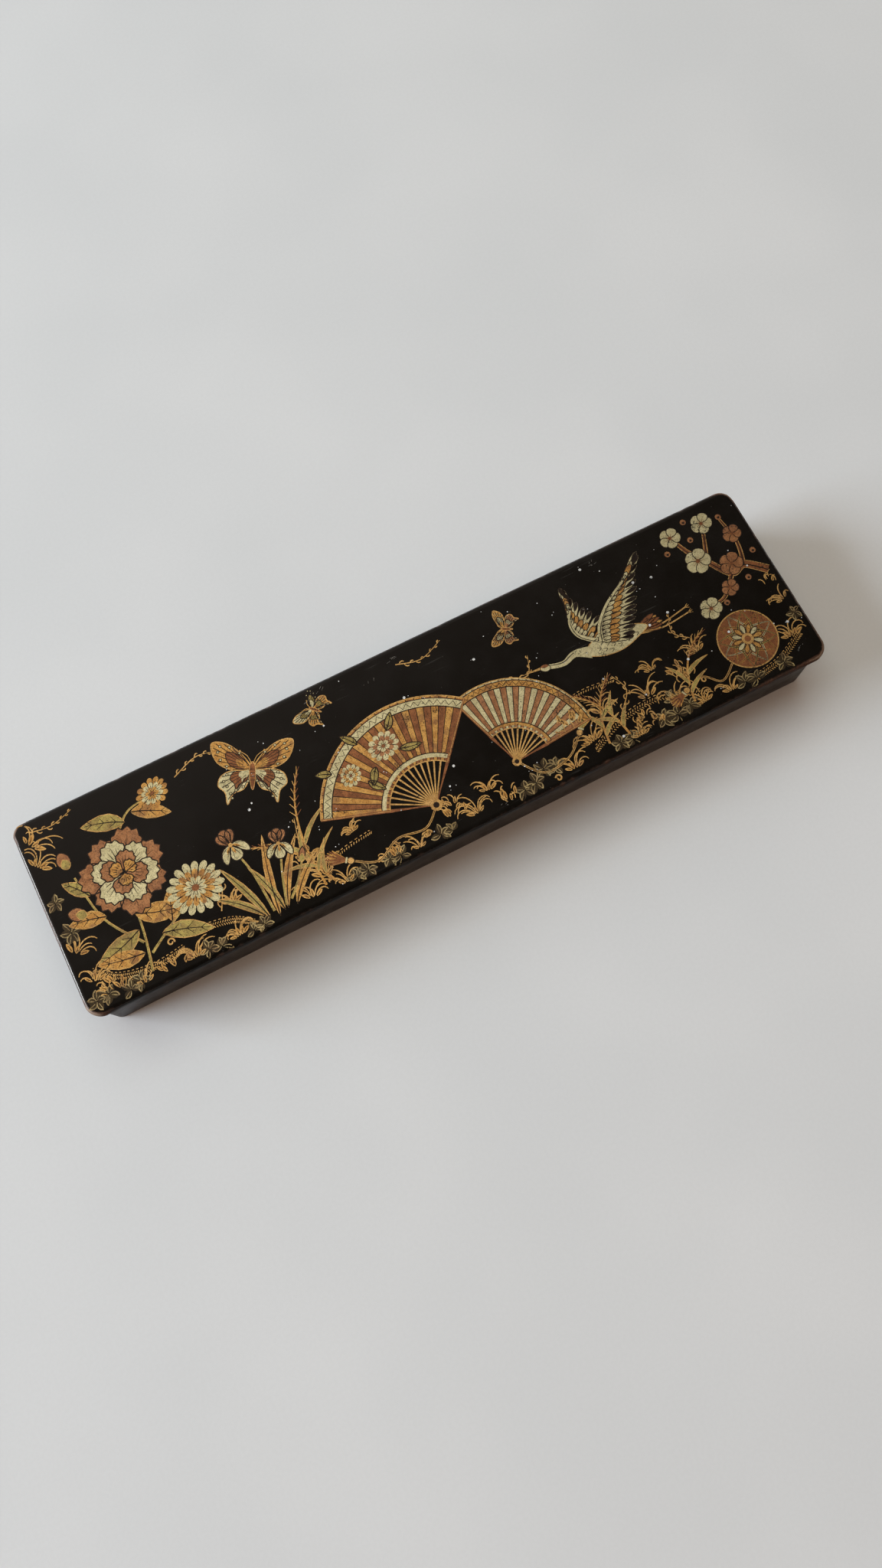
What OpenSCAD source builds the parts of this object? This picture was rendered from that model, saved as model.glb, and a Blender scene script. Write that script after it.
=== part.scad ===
// Lidded pen box of pasted card, lacquered black.
// The lid lifts off. Inside are a nib well and two notched rests for pens.
// The origin is the centre of the underside: X runs along the box, Y across it and Z up.

/* [Body] */
// Outside length of the body
body_len = 246.6; // [200:0.2:300]
// Outside width of the body
body_wid = 60.8; // [50:0.2:90]
// Height of the walls above the table
body_high = 22.8; // [20:0.1:40]
// Thickness of the walls
wall_t = 2.4; // [1.8:0.1:2.9]
// Outside radius of the upright corners
body_corner_r = 3.2; // [2.9:0.1:10]
// Rounding of the arrises at the foot and at the rim of the walls
wall_arris_r = 0.5; // [0.2:0.05:0.8]

/* [Floor] */
// Thickness of the floor board
floor_t = 2.2; // [1.5:0.1:3]
// Depth of the rebate in the walls that takes the edge of the floor board
rebate = 1; // [0.5:0.1:1.4]
// Thickness of the glue line between pieces that are glued edge to edge
glue_gap = 0.1; // [0.05:0.01:0.2]

/* [Lid] */
// Thickness of the lid board
lid_t = 3.2; // [2.4:0.1:6]
// How far the lid stands proud of the walls on every side
overhang = 1.7; // [0.5:0.1:4]
// Radius of the lid's corners in plan
lid_corner_r = 4.7; // [3:0.1:12]
// Radius of the rolled upper edge
lid_roll_r = 1.5; // [0.5:0.1:2.6]
// Rounding of the lid's lower arris
lid_arris_r = 0.4; // [0.2:0.05:0.6]

/* [Lid rim] */
// Thickness of the locating rim under the lid
rim_t = 1.8; // [1:0.1:2.2]
// How far the rim drops inside the walls
rim_deep = 3.5; // [2:0.1:6]
// Clearance between the rim and the walls on each side
rim_clear = 0.35; // [0.2:0.05:0.8]
// Outside radius of the rim's corners
rim_corner_r = 2.4; // [2:0.1:6]
// Rounding of the rim's lower outer edge, which leads it in
rim_lead_r = 0.8; // [0.3:0.1:0.9]

/* [Nib well] */
// Clear length of the nib well
well_len = 40; // [25:1:60]
// Thickness of the partition
partition_t = 2; // [1.5:0.1:4]
// Height of the partition above the floor
partition_high = 14; // [8:0.5:16]
// Width of the finger scoop in the partition's top edge
scoop_wid = 36; // [16:1:48]
// Depth of the finger scoop
scoop_deep = 3.5; // [1.5:0.1:6]

/* [Pen rests] */
// Thickness of a pen rest along the box
rest_t = 4; // [3:0.5:8]
// Height of a pen rest above the floor
rest_high = 8; // [6:0.5:12]
// Clear distance from each end of the pen space to its pen rest
rest_inset = 30; // [15:1:50]
// Diameter that a notch is cut to
notch_d = 10; // [8:0.5:12]
// Depth of a notch
notch_deep = 3.5; // [2:0.1:3.8]
// Width of the tip left between two notches
notch_gap = 3; // [2:0.5:6]

/* [Hidden] */
$fn = 96;
lacquer = [0.055, 0.05, 0.05];
worn_lacquer = [0.16, 0.11, 0.09];
// A cutter reaches this far past the face that it cuts
over = 0.01;

inner_len = body_len - 2 * wall_t;
inner_wid = body_wid - 2 * wall_t;
inner_corner_r = body_corner_r - wall_t;

// The floor board fills the rebate up to the glue line
floor_len = inner_len + 2 * (rebate - glue_gap);
floor_wid = inner_wid + 2 * (rebate - glue_gap);
floor_corner_r = inner_corner_r + rebate - glue_gap;

// The lid follows the walls at the overhang, and its rim follows their inner faces
lid_len = body_len + 2 * overhang;
lid_wid = body_wid + 2 * overhang;
lid_flat_len = lid_len - 2 * lid_corner_r;
lid_flat_wid = lid_wid - 2 * lid_corner_r;
rim_len = inner_len - 2 * rim_clear;
rim_wid = inner_wid - 2 * rim_clear;

// A fitting spans the inside from wall to wall, less a glue line at each end
fitting_wid = inner_wid - 2 * glue_gap;
pen_space_start = -inner_len / 2;
pen_space_end = inner_len / 2 - well_len - partition_t;

// A circular arc of the scoop's width and depth
scoop_r = (scoop_wid * scoop_wid / 4 + scoop_deep * scoop_deep) / (2 * scoop_deep);

// The notches are as many as the width takes, and centred in it
notch_wid = 2 * sqrt(pow(notch_d / 2, 2) - pow(notch_d / 2 - notch_deep, 2));
notch_pitch = notch_wid + notch_gap;
notch_count = floor((fitting_wid - notch_gap) / notch_pitch);

// Cutter for the rounded arris of a 2D profile whose top right corner is at the origin
module arris(r)
    translate([-r, -r]) difference() {
        square([r + over, r + over]);
        circle(r);
    }

// Rounded rectangle in plan
module plan(len, wid, r) {
    square([len - 2 * r, wid], center = true);
    square([len, wid - 2 * r], center = true);
    for (x = [-1, 1], y = [-1, 1])
        translate([x * (len / 2 - r), y * (wid / 2 - r)]) circle(r);
}

// One straight run of a profile, facing outwards at a given reach from the centre
module run(reach, len)
    translate([reach, len / 2, 0]) rotate([90, 0, 0]) linear_extrude(len) children();

// Carries a 2D edge profile round a rounded rectangle.
// The profile's X is the distance outside the rectangle, and its Y is the height.
module carry_round(len, wid, r) {
    for (turn = [0, 180]) {
        rotate([0, 0, turn]) run(len / 2, wid - 2 * r) children();
        rotate([0, 0, turn + 90]) run(wid / 2, len - 2 * r) children();
    }
    for (x = [-1, 1], y = [-1, 1])
        translate([x * (len / 2 - r), y * (wid / 2 - r), 0])
            rotate([0, 0, y > 0 ? (x > 0 ? 0 : 90) : (x > 0 ? 270 : 180)])
                rotate_extrude(angle = 90) translate([r, 0]) children();
}

// Section of the wall, from its inner face at X = 0 to its outer face
module wall_section()
    difference() {
        square([wall_t, body_high]);
        translate([wall_t, body_high]) arris(wall_arris_r);
        translate([wall_t, 0]) mirror([0, 1]) arris(wall_arris_r);
        translate([0, body_high]) mirror([1, 0]) arris(wall_arris_r);
        translate([-over, -over]) square([rebate + over, floor_t + over]);
    }

// Edge of the lid board, from the flat middle at X = 0 to the outer face
module lid_edge()
    difference() {
        square([lid_corner_r, lid_t]);
        translate([lid_corner_r, lid_t]) arris(lid_roll_r);
        translate([lid_corner_r, 0]) mirror([0, 1]) arris(lid_arris_r);
    }

// Section of the locating rim, hanging below the lid, with its outer face at X = 0
module rim_section()
    difference() {
        translate([-rim_t, -rim_deep]) square([rim_t, rim_deep]);
        translate([0, -rim_deep]) mirror([0, 1]) arris(rim_lead_r);
    }

// A fitting drawn from the side across the box, Y to the right and Z up, set on the floor
module fitting(x, t)
    translate([x, 0, floor_t]) rotate([90, 0, 90]) linear_extrude(t) children();

module body_wall()
    color(lacquer)
        carry_round(inner_len, inner_wid, inner_corner_r) wall_section();

module floor_board()
    color(lacquer)
        linear_extrude(floor_t) plan(floor_len, floor_wid, floor_corner_r);

module nib_partition()
    color(worn_lacquer)
        fitting(pen_space_end, partition_t)
            difference() {
                translate([-fitting_wid / 2, 0]) square([fitting_wid, partition_high]);
                translate([0, partition_high - scoop_deep + scoop_r]) circle(scoop_r);
            }

module pen_rest(x)
    fitting(x, rest_t)
        difference() {
            translate([-fitting_wid / 2, 0]) square([fitting_wid, rest_high]);
            for (i = [0 : notch_count - 1])
                translate([(i - (notch_count - 1) / 2) * notch_pitch,
                           rest_high - notch_deep + notch_d / 2])
                    circle(d = notch_d);
        }

module pen_rest_left()
    color(worn_lacquer) pen_rest(pen_space_start + rest_inset);

module pen_rest_right()
    color(worn_lacquer) pen_rest(pen_space_end - rest_inset - rest_t);

module lid_rim()
    color(lacquer)
        translate([0, 0, body_high])
            carry_round(rim_len, rim_wid, rim_corner_r) rim_section();

module lid_board()
    color(lacquer)
        translate([0, 0, body_high]) {
            carry_round(lid_flat_len, lid_flat_wid, 0) lid_edge();
            translate([-lid_flat_len / 2, -lid_flat_wid / 2, 0])
                cube([lid_flat_len, lid_flat_wid, lid_t]);
        }

body_wall();
floor_board();
nib_partition();
pen_rest_left();
pen_rest_right();
lid_rim();
lid_board();
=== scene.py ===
import cmath
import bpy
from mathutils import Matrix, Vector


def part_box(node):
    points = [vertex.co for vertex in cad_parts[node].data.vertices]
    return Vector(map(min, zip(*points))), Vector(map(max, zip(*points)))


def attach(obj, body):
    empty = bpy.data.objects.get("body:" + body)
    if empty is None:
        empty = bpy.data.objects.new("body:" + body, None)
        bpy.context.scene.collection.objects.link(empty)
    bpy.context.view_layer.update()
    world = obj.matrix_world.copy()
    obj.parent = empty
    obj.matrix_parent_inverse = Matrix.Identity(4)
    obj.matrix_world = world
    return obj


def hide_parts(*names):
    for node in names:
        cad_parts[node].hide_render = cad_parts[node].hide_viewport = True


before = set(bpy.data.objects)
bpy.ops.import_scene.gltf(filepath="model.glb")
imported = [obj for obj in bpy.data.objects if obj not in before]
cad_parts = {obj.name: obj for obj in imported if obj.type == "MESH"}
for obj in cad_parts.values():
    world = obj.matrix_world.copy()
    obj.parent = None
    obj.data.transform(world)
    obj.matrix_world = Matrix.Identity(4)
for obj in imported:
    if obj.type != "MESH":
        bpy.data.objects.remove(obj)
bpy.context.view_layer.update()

import copy
import math
import random

import bmesh
import bpy
import numpy as np
from mathutils import Matrix, Vector

# A lacquered pen box with a gilt lid: softened pieces, finishes, lid decoration, light and camera.
# Lengths are in millimetres up to the point where a mesh is made.
MM = 0.001

# Camera, in metres and degrees
CAMERA_PLACE = (-0.04476, -0.1026, 0.3792)
CAMERA_PITCH = 74.602
CAMERA_AZIMUTH = 64.456
CAMERA_ROLL = -1.51
CAMERA_LENS = 27.77
CAMERA_SENSOR = 36.0
CAMERA_CLIP = (0.01, 10)

# Lid board
LID_LOW, LID_HIGH = (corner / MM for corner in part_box("lid_board"))
LID_SINK = 0.07
LID_TOP = LID_HIGH.z - LID_SINK
LID_ROLL = 1.5
LID_ARRIS = 0.4
LID_CAP = 3.0
LID_CORNERS = (4.7, 3.6, 4.9, 4.9)
NEAR_BOW = 0.1
KNOCKS = 46
KNOCK_REACH = (0.5, 1.3)

# Body
WALL_LOW, WALL_HIGH = (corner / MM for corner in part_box("body_wall"))
WALL_T = 2.4
WALL_CORNER = 3.2
WALL_ARRIS = 0.5
WALL_BOW = 0.1
FLOOR_T = 2.2
REBATE = 1.0

# Signs of X and Y at the corners of a plan, anticlockwise
CORNER_SIDES = ((1, 1), (-1, 1), (-1, -1), (1, -1))


# Meshes

def add_object(name, data):
    made = bpy.data.objects.new(name, data)
    bpy.context.scene.collection.objects.link(made)
    return made


def add_mesh(name, points, faces, materials, smooth=True):
    """Makes an object from points in millimetres."""
    mesh = bpy.data.meshes.new(name)
    mesh.from_pydata([(x * MM, y * MM, z * MM) for x, y, z in points], [], faces)
    for material in materials:
        mesh.materials.append(material)
    mesh.polygons.foreach_set("use_smooth", [smooth] * len(mesh.polygons))
    return add_object(name, mesh)


def rounded_outline(half_x, half_y, radii, step):
    """Outline of a rounded rectangle, anticlockwise from the right side, as points and outward normals.
    The radii belong to the corners (+,+), (-,+), (-,-) and (+,-)."""
    points, normals = [], []
    centres = [complex(sx * (half_x - r), sy * (half_y - r)) for (sx, sy), r in zip(CORNER_SIDES, radii)]
    for i, (centre, r) in enumerate(zip(centres, radii)):
        start = i * math.pi / 2
        turns = max(6, round(r * math.pi / 2 / (step * 0.7)))
        for k in range(turns + 1):
            way = cmath.rect(1, start + math.pi / 2 * k / turns)
            points.append(centre + r * way)
            normals.append(way)
        way = cmath.rect(1, start + math.pi / 2)
        begin = points[-1]
        end = centres[(i + 1) % 4] + radii[(i + 1) % 4] * way
        count = max(2, round(abs(end - begin) / step))
        for k in range(1, count):
            points.append(begin + (end - begin) * k / count)
            normals.append(way)
    return np.array(points), np.array(normals)


def arc_profile(r, height, start, end, steps):
    """Quarter round of an edge profile, as pairs of distance inside the outline and height."""
    angles = [math.radians(start + (end - start) * k / steps) for k in range(steps + 1)]
    return [(r - r * math.cos(a), height + r * math.sin(a)) for a in angles]


def sweep(name, outline, normals, profile, shift, wear, material, closed):
    """Carries a profile round an outline. shift and wear are given point by point and ring by ring."""
    count, rings = len(outline), len(profile)
    points = []
    for (inset, z), inward in zip(profile, shift):
        points += [(p.real, p.imag, z) for p in outline - normals * (inset + inward)]
    faces = []
    for j in range(rings if closed else rings - 1):
        a, b = j * count, (j + 1) % rings * count
        faces += [(a + i, b + i, b + (i + 1) % count, a + (i + 1) % count) for i in range(count)]
    if not closed:
        faces.append(tuple(range(count)))
        faces.append(tuple(reversed(range((rings - 1) * count, rings * count))))
    made = add_mesh(name, points, faces, [material])
    attribute = made.data.attributes.new("wear", "FLOAT", "POINT")
    attribute.data.foreach_set("value", np.concatenate(wear).astype(np.float32))
    return made


def ripple(outline, size, seed):
    """Smooth unevenness along an outline, from 0 to 1."""
    draw = random.Random(seed)
    length = np.concatenate([[0], np.cumsum(np.abs(np.diff(outline)))])
    whole = length[-1] + abs(outline[0] - outline[-1])
    total = np.zeros(len(outline))
    for k in range(1, 6):
        waves = max(1, round(whole / size * k / 3))
        total += np.sin(2 * math.pi * waves * length / whole + draw.uniform(0, 6.3)) / k
    return (total - total.min()) / (total.max() - total.min())


def near(points, place, reach):
    """1 at a place on the plan, falling smoothly to 0."""
    return np.exp(-(np.abs(points - place) / reach) ** 2)


# Materials

class Nodes:
    """Short calls that build a node tree. Each gives an output of a new node."""

    def __init__(self, tree):
        self.tree = tree

    def feed(self, socket, value):
        if isinstance(value, bpy.types.NodeSocket):
            self.tree.links.new(value, socket)
        else:
            socket.default_value = (*value, 1) if socket.type == "RGBA" else value

    def node(self, kind, feeds=None, output=0, **settings):
        made = self.tree.nodes.new("ShaderNode" + kind)
        for key, value in settings.items():
            setattr(made, key, value)
        for key, value in (feeds or {}).items():
            self.feed(made.inputs[key], value)
        return made.outputs[output]

    def math(self, operation, a, b=0.0):
        return self.node("Math", {0: a, 1: b}, operation=operation)

    def plus(self, a, b):
        return self.math("ADD", a, b)

    def times(self, a, b):
        return self.math("MULTIPLY", a, b)

    def ramp(self, value, low, high, to_low=0.0, to_high=1.0):
        feeds = {"Value": value, "From Min": low, "From Max": high, "To Min": to_low, "To Max": to_high}
        return self.node("MapRange", feeds, interpolation_type="SMOOTHSTEP")

    def mix(self, share, a, b, blend="MIX"):
        return self.node("Mix", {0: share, 6: a, 7: b}, 2, data_type="RGBA", blend_type=blend)


class Look(Nodes):
    """One node material. Patterns are measured in millimetres on the object."""

    def __init__(self, name):
        self.material = bpy.data.materials.new(name)
        self.material.use_nodes = True
        super().__init__(self.material.node_tree)
        self.shader = self.tree.nodes["Principled BSDF"]
        self.place = self.node("TexCoord", output="Object")

    def stretched(self, scale, turn=0.0):
        feeds = {"Vector": self.place, "Rotation": (0, 0, math.radians(turn)), "Scale": scale}
        return self.node("Mapping", feeds)

    def noise(self, size, detail=3.0, rough=0.5, place=None):
        feeds = {"Vector": place or self.place, "Scale": 1 / (size * MM), "Detail": detail}
        return self.node("TexNoise", feeds | {"Roughness": rough})

    def cells(self, size):
        return self.node("TexVoronoi", {"Vector": self.place, "Scale": 1 / (size * MM)})

    def axis(self, name):
        return self.node("SeparateXYZ", {0: self.place}, name)

    def bump(self, *layers):
        """Each layer is a height pattern and its depth in millimetres."""
        feeds = {}
        for height, depth in layers:
            feeds |= {"Height": height, "Distance": depth * MM}
            feeds["Normal"] = self.node("Bump", feeds)
        self.feed(self.shader.inputs["Normal"], feeds["Normal"])

    def finish(self, colour, roughness, **plain):
        for name, value in {"Base_Color": colour, "Roughness": roughness, **plain}.items():
            self.feed(self.shader.inputs[name.replace("_", " ")], value)
        return self.material


# Lacquer from black to brown, what shows where it is worn, and dust
BLACK = (0.0033, 0.0026, 0.0019)
SOFT_BLACK = (0.0052, 0.0042, 0.0033)
WALL_BLACK = (0.0095, 0.0056, 0.0036)
WALL_BROWN = (0.016, 0.0094, 0.006)
THIN = (0.034, 0.0175, 0.0105)
INNER_DARK = (0.034, 0.0185, 0.012)
INNER_BROWN = (0.062, 0.033, 0.02)
INNER_GLOSS = 0.28
BOLE = (0.09, 0.038, 0.02)
DARK_BOLE = (0.045, 0.019, 0.01)
CARD = (0.19, 0.12, 0.078)
DUST = (0.085, 0.078, 0.068)
TINT = (0.195, 0.08, 0.04)
UMBER = (0.04, 0.017, 0.007)


def scratches(look):
    """Fine straight scratches in three directions, as a pattern from 0 to 1."""
    found = 0.0
    for turn, size in ((17, 1.0), (-38, 1.7), (71, 2.6)):
        place = look.stretched((0.03, 1, 1), turn)
        line = look.noise(0.24 * size, detail=1.0, rough=0.3, place=place)
        gate = look.noise(7 * size, detail=2.0)
        hit = look.times(look.ramp(line, 0.69, 0.71), look.ramp(gate, 0.6, 0.74))
        found = look.math("MAXIMUM", found, hit)
    return found


def lacquer(name, dark, light, gloss, wear, dull=None, specular=0.5):
    """Lacquer over red-brown bole over card. wear is a pattern that thins it, then bares bole and card.
    dull is a pattern of lost gloss."""
    look = Look(name)
    cloud = look.noise(16, detail=4.0)
    fine = look.noise(0.9, detail=5.0, rough=0.6)
    worn = look.plus(wear(look), look.times(fine, 0.64))
    thin = look.ramp(worn, 0.48, 0.92)
    bare = look.ramp(worn, 0.82, 1.04)
    deep = look.ramp(worn, 1.18, 1.42)
    lines = scratches(look)
    dust = look.ramp(look.cells(3.1), 0.045, 0.02, 0.0, 0.7)
    colour = look.mix(look.ramp(cloud, 0.35, 0.7), dark, light)
    earth = look.mix(look.ramp(look.noise(0.6), 0.35, 0.65), BOLE, DARK_BOLE)
    for share, coat in ((look.times(lines, 0.14), DUST), (dust, DUST), (look.times(thin, 0.85), THIN),
            (bare, earth), (deep, CARD)):
        colour = look.mix(share, colour, coat)
    rough = look.ramp(look.noise(5.5, detail=5.0, rough=0.62), 0.35, 0.75, gloss, gloss + 0.12)
    for pattern, more in ((thin, 0.14), (bare, 0.22), (lines, 0.08)):
        rough = look.plus(rough, look.times(pattern, more))
    if dull:
        lost = dull(look)
        rough = look.plus(rough, look.times(lost, 0.34))
        specular = look.times(look.math("SUBTRACT", 1.0, look.times(lost, 0.75)), specular)
    look.bump((look.noise(28, detail=1.0), 0.05), (look.noise(2.1, detail=2.0), 0.0016), (lines, -0.0012),
        (bare, -0.02))
    return look.finish(colour, rough, Specular_IOR_Level=specular, IOR=1.5)


def attribute_wear(look):
    return look.node("Attribute", output="Fac", attribute_name="wear")


def dull_roll(look):
    """The gloss is handled away down the lid's rolled edge and its face, but not at the left end."""
    down = look.ramp(look.axis("Z"), (LID_TOP - 0.25) * MM, (LID_TOP - 0.8) * MM)
    off_left = look.ramp(look.axis("X"), (LID_LOW.x + 1.8) * MM, (LID_LOW.x + 5.0) * MM)
    return look.times(down, off_left)


# Pieces of the box

def bow_of(outline, depth, half_length, half_width):
    """Inward bow of the near long side."""
    along = np.clip(np.abs(outline.real) / half_length, 0, 1)
    side = np.clip(-outline.imag / half_width * 4 - 3, 0, 1)
    return depth * (1 - along ** 2) * side


def chips(outline):
    """Places and sizes of small knocks along an outline."""
    draw = random.Random(5)
    return [(outline[draw.randrange(len(outline))], draw.uniform(*KNOCK_REACH)) for _ in range(KNOCKS)]


def lid_profile():
    """From the flat top over the rolled edge to the flat underside."""
    top = [(LID_CAP, LID_TOP), (2.2, LID_TOP), (1.75, LID_TOP)]
    roll = arc_profile(LID_ROLL, LID_TOP - LID_ROLL, 90, 0, 12)
    face = [(0.0, LID_TOP - LID_ROLL - 0.4), (0.0, LID_LOW.z + LID_ARRIS + 0.3)]
    arris = arc_profile(LID_ARRIS, LID_LOW.z + LID_ARRIS, 0, -90, 5)
    return top + roll + face + arris + [(0.7, LID_LOW.z), (LID_CAP, LID_LOW.z)]


def lid_outline():
    return rounded_outline(LID_HIGH.x, LID_HIGH.y, LID_CORNERS, 0.5)


def lid_unevenness(outline):
    """How far the lid's outline lies inside a true rounded rectangle."""
    bow = bow_of(outline, NEAR_BOW, LID_HIGH.x, LID_HIGH.y)
    return bow + 0.07 * ripple(outline, 60, 3) + 0.03 * ripple(outline, 9, 4)


def make_lid(material):
    outline, normals = lid_outline()
    uneven = lid_unevenness(outline)
    corners = sum(near(outline, complex(sx * (LID_HIGH.x - 1.2), sy * (LID_HIGH.y - 1.2)), reach)
        for sx, sy, reach in ((1, 1, 4.0), (1, -1, 8.0), (-1, -1, 5.0), (-1, 1, 3.2)))
    along, across = outline.real / LID_HIGH.x, outline.imag / LID_HIGH.y
    right = np.clip((along - 0.96) * 25, 0, 1)
    left = np.clip((-along - 0.96) * 25, 0, 1)
    near_right = np.clip(-across * 10 - 9, 0, 1) * np.clip(along * 2, 0, 1)
    rub = ripple(outline, 14, 8) * (0.55 + 0.45 * np.clip(along, -0.6, 1))
    rub += (0.75 * right + 1.1 * left + 0.55 * near_right) * ripple(outline, 22, 18)
    dent = np.zeros(len(outline))
    for place, reach in chips(outline):
        dent = np.maximum(dent, near(outline, place, reach) * 0.09 * reach)
    shift, wear = [], []
    for inset, z in lid_profile():
        on_roll = math.exp(-((inset - 0.35) / 0.7) ** 2) if z > LID_LOW.z + 0.6 else 0.3
        on_arris = math.exp(-((z - LID_LOW.z) / 0.5) ** 2)
        shift.append(uneven + dent * on_roll)
        worn = (corners * (on_roll + 0.25 * on_arris) + 0.42 * rub * (on_roll + on_arris) + 0.16 * on_roll
            + dent * 3.0 * on_roll)
        wear.append(worn * (inset < LID_CAP))
    lid = sweep("lid_board_lacquered", outline, normals, lid_profile(), shift, wear, material, False)
    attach(lid, "lid")
    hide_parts("lid_board")


def wall_profile():
    """Closed section of the wall, anticlockwise from the foot of its outer face."""
    low, high = WALL_LOW.z, WALL_HIGH.z
    foot = arc_profile(WALL_ARRIS, low + WALL_ARRIS, -90, 0, 5)
    face = [(0.0, low + (high - low) * k / 12) for k in range(1, 12)]
    rim = arc_profile(WALL_ARRIS, high - WALL_ARRIS, 0, 90, 5)
    back = [(WALL_T - inset, z) for inset, z in reversed(rim)]
    down = [(WALL_T, high - 4), (WALL_T, low + FLOOR_T + 4), (WALL_T, low + FLOOR_T)]
    rebate = [(WALL_T - REBATE, low + FLOOR_T), (WALL_T - REBATE, low)]
    return foot + face + rim + back + down + rebate


def make_wall(material):
    outline, normals = rounded_outline(WALL_HIGH.x, WALL_HIGH.y, (WALL_CORNER,) * 4, 0.8)
    uneven = bow_of(outline, WALL_BOW, WALL_HIGH.x, WALL_HIGH.y) + 0.06 * ripple(outline, 70, 13)
    corners = sum(near(outline, complex(sx * WALL_HIGH.x, sy * WALL_HIGH.y), 5) for sx, sy in CORNER_SIDES)
    rub = ripple(outline, 18, 15)
    shift, wear = [], []
    for inset, z in wall_profile():
        outside = 1.0 if inset < WALL_T / 3 else 0.0
        within = 0.85 if inset >= WALL_T and z < WALL_HIGH.z - WALL_ARRIS else 0.0
        on_foot = math.exp(-((z - WALL_LOW.z) / 0.9) ** 2)
        on_rim = math.exp(-((z - WALL_HIGH.z) / 0.7) ** 2)
        shift.append(uneven * outside)
        wear.append(outside * (0.45 * corners + (0.35 + 0.35 * rub) * on_foot) + 0.6 * rub * on_rim
            + within * (0.45 + 0.35 * rub))
    wall = sweep("body_wall_lacquered", outline, normals, wall_profile(), shift, wear, material, True)
    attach(wall, "box")
    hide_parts("body_wall")


# Lid decoration: flat closed shapes, each in one ink, laid on the lid in thin layers.
# Plan points are complex numbers in millimetres, with X to the right and Y away from the near side.

GOLD, BRIGHT, RUST, CREAM, OLIVE, ROSE, MOSS, LINE, SPECK, SCUFF, STRAW = range(11)
PRINT_LIFT = 0.008
PRINT_SINK = 0.02
LAYER = 0.0011
STAGGER = 0.07
STAGGER_STEPS = 11
LINE_WEIGHT = 1.35
EDGE_MARGIN = 0.55


class LidTop:
    """Height of the lacquer at a point of the plan, over the flat top and down the rolled edge."""

    def __init__(self):
        outline, normals = lid_outline()
        edge = outline - normals * lid_unevenness(outline)
        self.sides = []
        for way in (1, 1j, -1, -1j):
            side = edge[np.abs(normals - way) < 1e-6] * np.conj(way)
            self.sides.append((np.conj(way), side.imag, side.real))

    def inside(self, p):
        """How far a point of the plan lies inside the lid's outline."""
        turned = ((p * way, along, out) for way, along, out in self.sides)
        return min(np.interp(q.imag, along, out) - q.real for q, along, out in turned)

    def height(self, p):
        fall = min(max(LID_ROLL - self.inside(p), 0), LID_ROLL)
        return LID_TOP - LID_ROLL + math.sqrt(LID_ROLL ** 2 - fall ** 2)


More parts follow.
